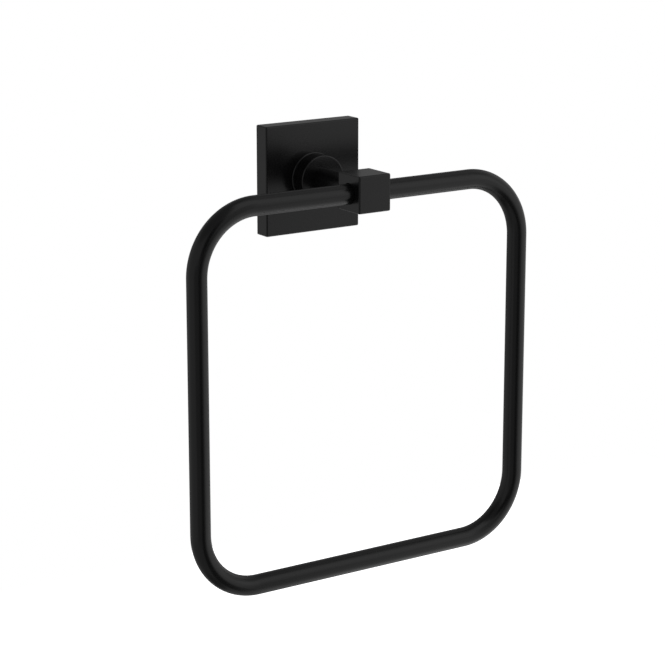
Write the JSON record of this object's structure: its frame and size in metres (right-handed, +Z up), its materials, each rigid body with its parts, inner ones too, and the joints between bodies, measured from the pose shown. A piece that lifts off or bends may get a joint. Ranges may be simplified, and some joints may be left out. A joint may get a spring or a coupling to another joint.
{
  "type": "towel ring",
  "caption": "Square towel ring: a bent round rod hangs in the bored cube head of a round post on a square wall plate, over a hidden wall bracket.",
  "frame": {"origin": "middle of the cover plate's back, on the wall's surface", "axes": "+Y into the wall, so the object stands out along -Y; +X to the right and +Z up"},
  "size_m": [0.181, 0.0578, 0.2022],
  "materials": {
    "satin_black": "satin black coating",
    "zinc_plated_steel": "bright zinc plating",
    "blackened_steel": "black oxide"
  },
  "bodies": {
    "wall_fixture": {"cover_plate": "satin_black", "post": "satin_black", "wall_bracket": "zinc_plated_steel", "post_screw": "zinc_plated_steel", "flat_washer": "zinc_plated_steel", "lock_washer": "zinc_plated_steel", "locking_screw": "blackened_steel"},
    "hanging_ring": {"ring": "satin_black"}
  },
  "joints": [
    {"name": "ring_swing", "type": "hinge", "parent": "wall_fixture", "child": "hanging_ring", "pos_m": [0, -0.0494, -0.00045], "axis": [-1, 0, 0], "range_deg": [-15, 195]}
  ]
}
